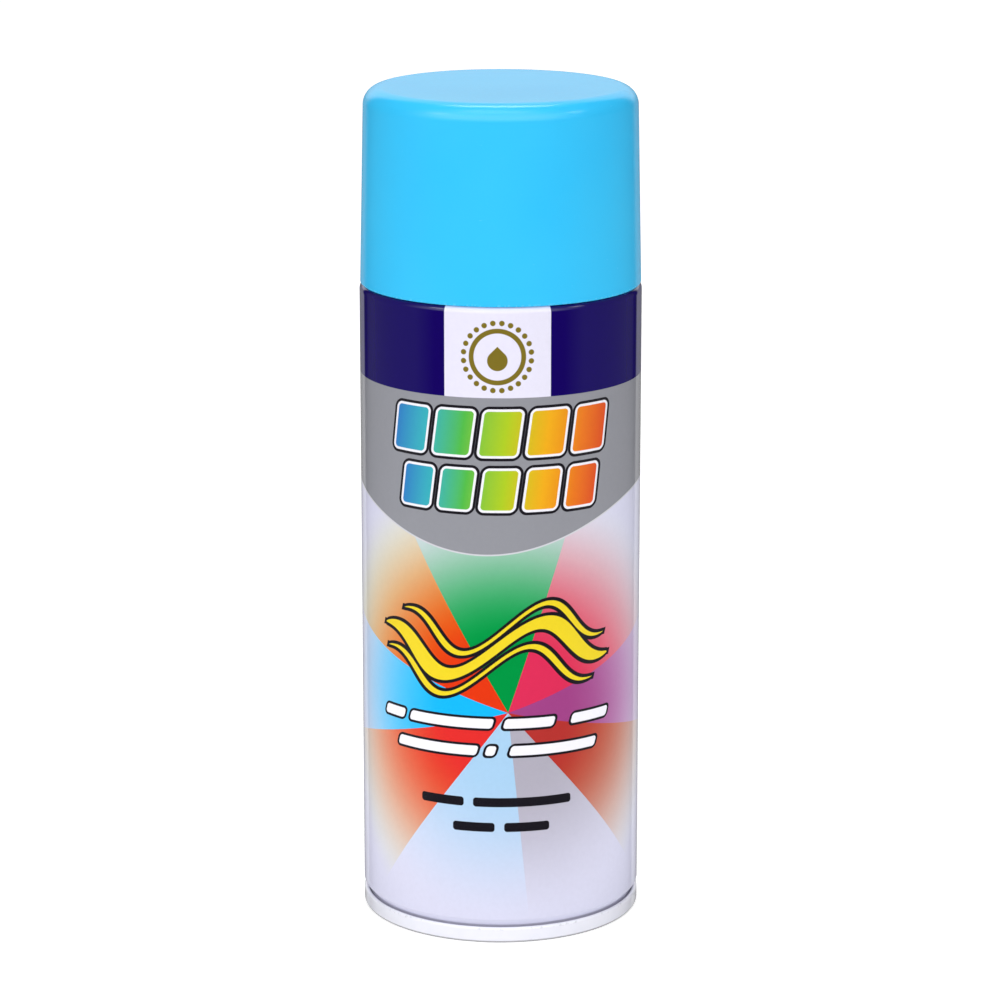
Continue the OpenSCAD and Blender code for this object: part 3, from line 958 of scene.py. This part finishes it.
def make_top_cone(material):
    chuck_r = TOP_NECK_R - PITCH
    turn = 90 + DOME_LOW_ANGLE
    foot_centre = (chuck_r - COUNTERSINK_BEND, CAN_H - COUNTERSINK)
    foot = arc(foot_centre, COUNTERSINK_BEND, 0, -turn)
    opening_mid_r = OPENING_R + END_T / 2
    low = math.radians(DOME_LOW_ANGLE)
    high = math.radians(DOME_HIGH_ANGLE)
    head_r = opening_mid_r + NECK_FILLET * (1 - math.sin(high))
    dome_r = (foot[-1].x - head_r) / (math.sin(low) - math.sin(high))
    head_z = foot[-1].y + dome_r * (math.cos(high) - math.cos(low))
    dome_centre = (foot[-1].x - dome_r * math.sin(low), foot[-1].y - dome_r * math.cos(low))
    dome = arc(dome_centre, dome_r, 90 - DOME_LOW_ANGLE, 90 - DOME_HIGH_ANGLE, 30)
    fillet = arc((opening_mid_r + NECK_FILLET, head_z + NECK_FILLET * math.cos(high)), NECK_FILLET,
                 270 - DOME_HIGH_ANGLE, 180)
    curl = arc((CURL_MID_R, CURL_Z), CURL_R - END_T / 2, 180, -75, 32)
    path = joined(lifted(end_seam(TOP_NECK_R, TOP_SEAM_H), CAN_H), foot, dome, fillet, curl)
    piece = turned_sheet("top_cone_pressed", path, END_T, material)
    stand_for(piece, "top_cone", "can")


def make_bottom_end(material):
    chuck_r = BOTTOM_NECK_R - PITCH
    edge = math.radians(BASE_EDGE_ANGLE)
    edge_r = chuck_r - BASE_BEND * (1 - math.sin(edge))
    edge_z = BASE_CHUCK_Z + BASE_BEND * math.cos(edge)
    base_r = edge_r / math.sin(edge)
    centre_z = edge_z - base_r * math.cos(edge)
    corner = arc((chuck_r - BASE_BEND, -BASE_CHUCK_Z), BASE_BEND, 0, -90 + BASE_EDGE_ANGLE)
    dome = arc((0, -centre_z), base_r, -90 + BASE_EDGE_ANGLE, -90 + BASE_FLAT_ANGLE, 30)
    middle = [(0, -centre_z - base_r * math.cos(math.radians(BASE_FLAT_ANGLE)))]
    path = turned_over(joined(end_seam(BOTTOM_NECK_R, BOTTOM_SEAM_H), corner, dome, middle))
    piece = turned_sheet("bottom_end_pressed", path, END_T, material)
    stand_for(piece, "bottom_end", "can")


def make_mounting_cup(material):
    rim = arc((CURL_MID_R, CURL_Z), CUP_CURL_R, -35, 180, 32)
    clinch = bead(CUP_WALL_R, CURL_Z - CLINCH_DROP, CLINCH_H, CLINCH_DEPTH)
    floor_turn = arc((CUP_WALL_R - FLOOR_BEND, CUP_FLOOR_Z + FLOOR_BEND), FLOOR_BEND, 0, -90)
    foot = arc((PEDESTAL_MID_R + PEDESTAL_FOOT_BEND, CUP_FLOOR_Z + PEDESTAL_FOOT_BEND),
               PEDESTAL_FOOT_BEND, 270, 180)
    crimp_z = CUP_FLOOR_Z + PEDESTAL_FOOT_BEND + CRIMP_H
    crimp = bead(PEDESTAL_MID_R, crimp_z, CRIMP_H, -CRIMP_DEPTH)[::-1]
    turn_z = PEDESTAL_Z - CUP_T / 2 - PEDESTAL_BEND
    top_turn = arc((PEDESTAL_MID_R - PEDESTAL_BEND, turn_z), PEDESTAL_BEND, 0, 90)
    hole = [(CUP_HOLE_R, PEDESTAL_Z - CUP_T / 2)]
    path = joined(rim, clinch, floor_turn, foot, crimp, top_turn, hole)
    piece = turned_sheet("mounting_cup_pressed", path, CUP_T, material)
    stand_for(piece, "mounting_cup", "can")


def cap_side(inset, top_z, foot_z):
    """The cap's outline moved inwards by inset, from the foot up to where the top's dish starts."""
    edge_z = CAP_TOP_Z - CAP_EDGE_R
    edge_r = CAP_R - (edge_z - CAP_Z) * math.tan(CAP_DRAFT) - CAP_EDGE_R / math.cos(CAP_DRAFT)
    foot_r = CAP_R - inset / math.cos(CAP_DRAFT) - (foot_z - CAP_Z) * math.tan(CAP_DRAFT)
    bend = arc((edge_r, edge_z), CAP_EDGE_R - inset, math.degrees(CAP_DRAFT), 90, 20)
    return joined([(foot_r, foot_z)], bend), edge_r


def make_overcap(material):
    outer, edge_r = cap_side(0, CAP_TOP_Z, CAP_Z + CAP_LIP_R)
    inner, _ = cap_side(CAP_WALL, CAP_TOP_Z - CAP_WALL, CAP_Z + CAP_LIP_CHAMFER)
    lip = arc((CAP_R - CAP_LIP_R, CAP_Z + CAP_LIP_R), CAP_LIP_R, -90, 0, 8)
    shares = [1 - i / CAP_DISH_STEPS for i in range(1, CAP_DISH_STEPS + 1)]
    dish = [(edge_r * share, CAP_TOP_Z - CAP_DISH * (1 - share ** 2) ** 2) for share in shares]
    roof = [(0, CAP_TOP_Z - CAP_WALL - CAP_DISH)]
    outline = joined(lip, outer, dish, roof, inner[::-1], [(CAP_R - CAP_WALL + CAP_LIP_CHAMFER, CAP_Z)])
    bm = bmesh.new()
    revolve(bm, outline)
    add_cap_ribs(bm)
    piece = new_piece("overcap_moulded", bm, [material])
    stand_for(piece, "overcap", "cap")


def add_cap_ribs(bm):
    """Ribs down the inside of the wall, their feet just above the top seam."""
    wall, edge_r = cap_side(CAP_WALL / 2, CAP_TOP_Z - CAP_WALL / 2, CAP_RIB_Z)
    top = CAP_TOP_Z - CAP_WALL / 2
    rib = [p for p in wall if p.x > CAP_RIB_R]
    corner_z = top - (CAP_RIB_R - edge_r) * 0.5
    outline = joined([(CAP_RIB_R, CAP_RIB_Z)], rib, [(CAP_RIB_R, corner_z)])
    for i in range(CAP_RIBS):
        plate(bm, outline, math.pi / CAP_RIBS + math.tau * i / CAP_RIBS, CAP_RIB_T)


def make_spring(material):
    """The valve spring's coil, in place of the CAD node."""
    low, high = box("valve_spring")
    coil_r = high.x - SPRING_WIRE_R
    wire = 2 * SPRING_WIRE_R
    open_turns = SPRING_TURNS - 2 * SPRING_CLOSED_TURNS
    lead = (high.z - low.z - wire * (1 + 2 * SPRING_CLOSED_TURNS)) / open_turns
    rings = SPRING_RINGS_PER_TURN * SPRING_TURNS
    bm = bmesh.new()
    loops = []
    for i in range(rings + 1):
        turn = i / SPRING_RINGS_PER_TURN
        opened = min(max(turn - SPRING_CLOSED_TURNS, 0), open_turns)
        height = low.z + SPRING_WIRE_R + wire * (turn - opened) + lead * opened
        loop = []
        for k in range(SPRING_SIDES):
            around = math.tau * k / SPRING_SIDES
            radius = coil_r + SPRING_WIRE_R * math.cos(around)
            loop.append(bm.verts.new(at_angle((radius, height + SPRING_WIRE_R * math.sin(around)),
                                              math.tau * turn)))
        loops.append(loop)
    for a, b in zip(loops, loops[1:]):
        for k in range(SPRING_SIDES):
            j = (k + 1) % SPRING_SIDES
            bm.faces.new([a[k], a[j], b[j], b[k]])
    bm.faces.new(loops[0][::-1])
    bm.faces.new(loops[-1])
    piece = new_piece("valve_spring_coil", bm, [material], sharp_angle=50)
    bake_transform(piece)
    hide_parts("valve_spring")


def finish_node(node, material):
    """Gives a CAD node that stays as it is its finish, in every slot that it has."""
    for material_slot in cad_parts[node].material_slots:
        material_slot.material = material


# ---------------------------------------------------------------- stage, light and camera

FLOOR_HALF = 6000
CAMERA_BACK = 877.6                 # from the can's axis, level
CAMERA_UP = 318.5
CAMERA_ASIDE = -0.16
CAMERA_TILT = 14.128                # down from level, in degrees
CAMERA_LENS = 139.55
# Brightness of the studio's walls, from the front (0) round to the back (1) on both sides
WALLS = [(0.0, 0.02), (0.3, 0.03), (0.4, 0.2), (0.7, 0.16), (0.76, 0.1), (0.78, 0.03), (0.812, 0.03),
         (0.828, 0.55), (0.88, 0.38), (0.93, 0.25), (1.0, 0.2)]
WALLS_TURN = math.radians(1)
FRONT_TURN = math.radians(7)        # the light from the front comes a little from the left
FRONT_ENDS = (math.radians(86), math.radians(34))   # none of it beyond the first, all of it within the second
FRONT_LIGHT = 2.25
FRONT_OVERHEAD = 0.3                # the share of it that is left straight above
BACK_ENDS = (math.radians(148), math.radians(152))
BACK_LIGHT = 0.66
# Softboxes: name, azimuth (0 in front, 90 to the right), elevation, distance, (width, height), radiance
SOFTBOXES = [("shoulder_left", -60, 40, 1300, (240, 240), 3),
             ("shoulder_right", 74, 40, 1300, (240, 240), 3),
             ("above", -7, 70, 1100, (760, 340), 1.6),
             ("overhead", 180, 70, 1100, (560, 180), 8)]
FLOOR_GLOW = 0.5                    # what lifts the floor to white
POOL_R = 250                        # round the can it's lit more than farther away
POOL_GLOW = 0.12
SIDE_GLOW = 1.3                     # and more again on both sides of the can


def make_floor():
    """A pale floor, lifted to white for the camera; from below it isn't there."""
    material = bpy.data.materials.new("studio_floor")
    material.use_nodes = True
    tree = material.node_tree
    tree.nodes.clear()
    matt = tree.nodes.new("ShaderNodeBsdfDiffuse")
    matt.inputs["Color"].default_value = grey(0.8)
    light_path = tree.nodes.new("ShaderNodeLightPath")
    seen = Wire(tree, light_path.outputs["Is Camera Ray"])
    place = Place(tree)
    near = ramp_up(length(place.x, place.y), POOL_R, POOL_R * 0.4)
    pool = near * (ramp_up(abs(place.x), 45, 90) * SIDE_GLOW + POOL_GLOW) + POOL_GLOW
    glow = tree.nodes.new("ShaderNodeEmission")
    connect(blend_value(seen, pool, FLOOR_GLOW), glow.inputs["Strength"])
    lit = tree.nodes.new("ShaderNodeAddShader")
    clear = tree.nodes.new("ShaderNodeBsdfTransparent")
    sides = tree.nodes.new("ShaderNodeMixShader")
    geometry = tree.nodes.new("ShaderNodeNewGeometry")
    output = tree.nodes.new("ShaderNodeOutputMaterial")
    tree.links.new(matt.outputs[0], lit.inputs[0])
    tree.links.new(glow.outputs[0], lit.inputs[1])
    tree.links.new(geometry.outputs["Backfacing"], sides.inputs[0])
    tree.links.new(lit.outputs[0], sides.inputs[1])
    tree.links.new(clear.outputs[0], sides.inputs[2])
    tree.links.new(sides.outputs[0], output.inputs["Surface"])
    bm = bmesh.new()
    corners = [(-1, -1), (1, -1), (1, 1), (-1, 1)]
    bm.faces.new([bm.verts.new((x * FLOOR_HALF, y * FLOOR_HALF, 0)) for x, y in corners])
    floor = new_piece("studio_floor", bm, [material])
    floor.location.z = cad_low.z
    floor.visible_glossy = False


def make_world():
    """A studio that is dark in front, grey at the sides and pale behind, lit from high up in front."""
    world = bpy.data.worlds.new("studio")
    bpy.context.scene.world = world
    world.use_nodes = True
    tree = world.node_tree
    tree.nodes.clear()
    coordinates = tree.nodes.new("ShaderNodeTexCoord")
    split = tree.nodes.new("ShaderNodeSeparateXYZ")
    tree.links.new(coordinates.outputs["Generated"], split.inputs[0])
    x, y, z = (Wire(tree, split.outputs[i]) for i in range(3))
    turn = math_node("ARCTAN2", x, -y)
    around = colour_ramp(abs(turn + WALLS_TURN) / math.pi, [(place, grey(level)) for place, level in WALLS])
    front = ramp_up(abs(turn + FRONT_TURN), *FRONT_ENDS) * ramp_up(z, 0.05, 0.4)
    front_fade = ramp_up(z, 1.0, 0.5) * (1 - FRONT_OVERHEAD) + FRONT_OVERHEAD
    back = ramp_up(abs(turn), *BACK_ENDS) * ramp_up(z, 0.03, 0.12)
    back_fade = ramp_up(z, 0.85, 0.6)
    level = around + front * front_fade * FRONT_LIGHT + back * back_fade * BACK_LIGHT
    light_path = tree.nodes.new("ShaderNodeLightPath")
    seen = Wire(tree, light_path.outputs["Is Camera Ray"])
    background = tree.nodes.new("ShaderNodeBackground")
    connect(mix(seen, joined_vector(level, level, level), grey(1.0)), background.inputs["Color"])
    output = tree.nodes.new("ShaderNodeOutputWorld")
    tree.links.new(background.outputs[0], output.inputs["Surface"])


def add_softbox(name, azimuth, elevation, distance, size, radiance):
    """A rectangular area light that looks at the upper part of the can."""
    light = bpy.data.lights.new(name, "AREA")
    light.shape = "RECTANGLE"
    light.size, light.size_y = size[0] * MM, size[1] * MM
    light.energy = math.pi * light.size * light.size_y * radiance
    lamp = bpy.data.objects.new(name, light)
    turn, lift = math.radians(azimuth), math.radians(elevation)
    away = Vector((math.sin(turn) * math.cos(lift), -math.cos(turn) * math.cos(lift), math.sin(lift)))
    target = Vector((0, 0, CAN_H * MM * 0.75))
    lamp.location = target + away * distance * MM
    lamp.rotation_euler = away.to_track_quat("Z", "Y").to_euler()
    bpy.context.scene.collection.objects.link(lamp)


def make_lights():
    for light in SOFTBOXES:
        add_softbox(*light)


def make_camera():
    camera = bpy.data.cameras.new("camera")
    camera.lens = CAMERA_LENS
    camera.clip_start, camera.clip_end = 0.05, 50
    holder = bpy.data.objects.new("camera", camera)
    holder.location = Vector((CAMERA_ASIDE, -CAMERA_BACK, CAMERA_UP)) * MM
    holder.rotation_euler = Euler((math.radians(90 - CAMERA_TILT), 0, 0))
    bpy.context.scene.collection.objects.link(holder)
    bpy.context.scene.camera = holder


def set_colour_management():
    view = bpy.context.scene.view_settings
    view.view_transform = "Standard"
    view.look = "None"
    view.exposure = 0
    view.gamma = 1


# ---------------------------------------------------------------- the whole scene

make_camera()
make_can_body(printed_tinplate(), inner_lacquer())
tin = bare_tinplate()
make_top_cone(tin)
make_bottom_end(white_tinplate())
make_mounting_cup(tin)
make_overcap(cap_plastic())
make_spring(steel("spring_steel", 3.0))

compound = rubber("seam_compound", linear(150, 142, 118), linear(176, 168, 142))
gasket = rubber("gasket_rubber", linear(26, 26, 28), linear(46, 46, 50))
valve = moulded_plastic("valve_plastic", linear(226, 226, 216), linear(240, 240, 232), 0.3)
button = moulded_plastic("button_plastic", linear(236, 237, 240), linear(246, 247, 250), 0.25, 0.25)
nozzle = moulded_plastic("nozzle_plastic", linear(196, 198, 204), linear(210, 212, 218), 0.28, 0.15)
ball = steel("ball_steel", 8.0)
tube = dip_tube_plastic()
for node, material in {"top_seam_seal": compound, "bottom_seam_seal": compound, "cup_gasket": gasket,
                       "stem_gasket": gasket, "valve_housing": valve, "valve_stem": valve,
                       "dip_tube": tube, "actuator": button, "nozzle_insert": nozzle,
                       "mixing_ball_1": ball, "mixing_ball_2": ball}.items():
    finish_node(node, material)

make_floor()
make_world()
make_lights()
set_colour_management()
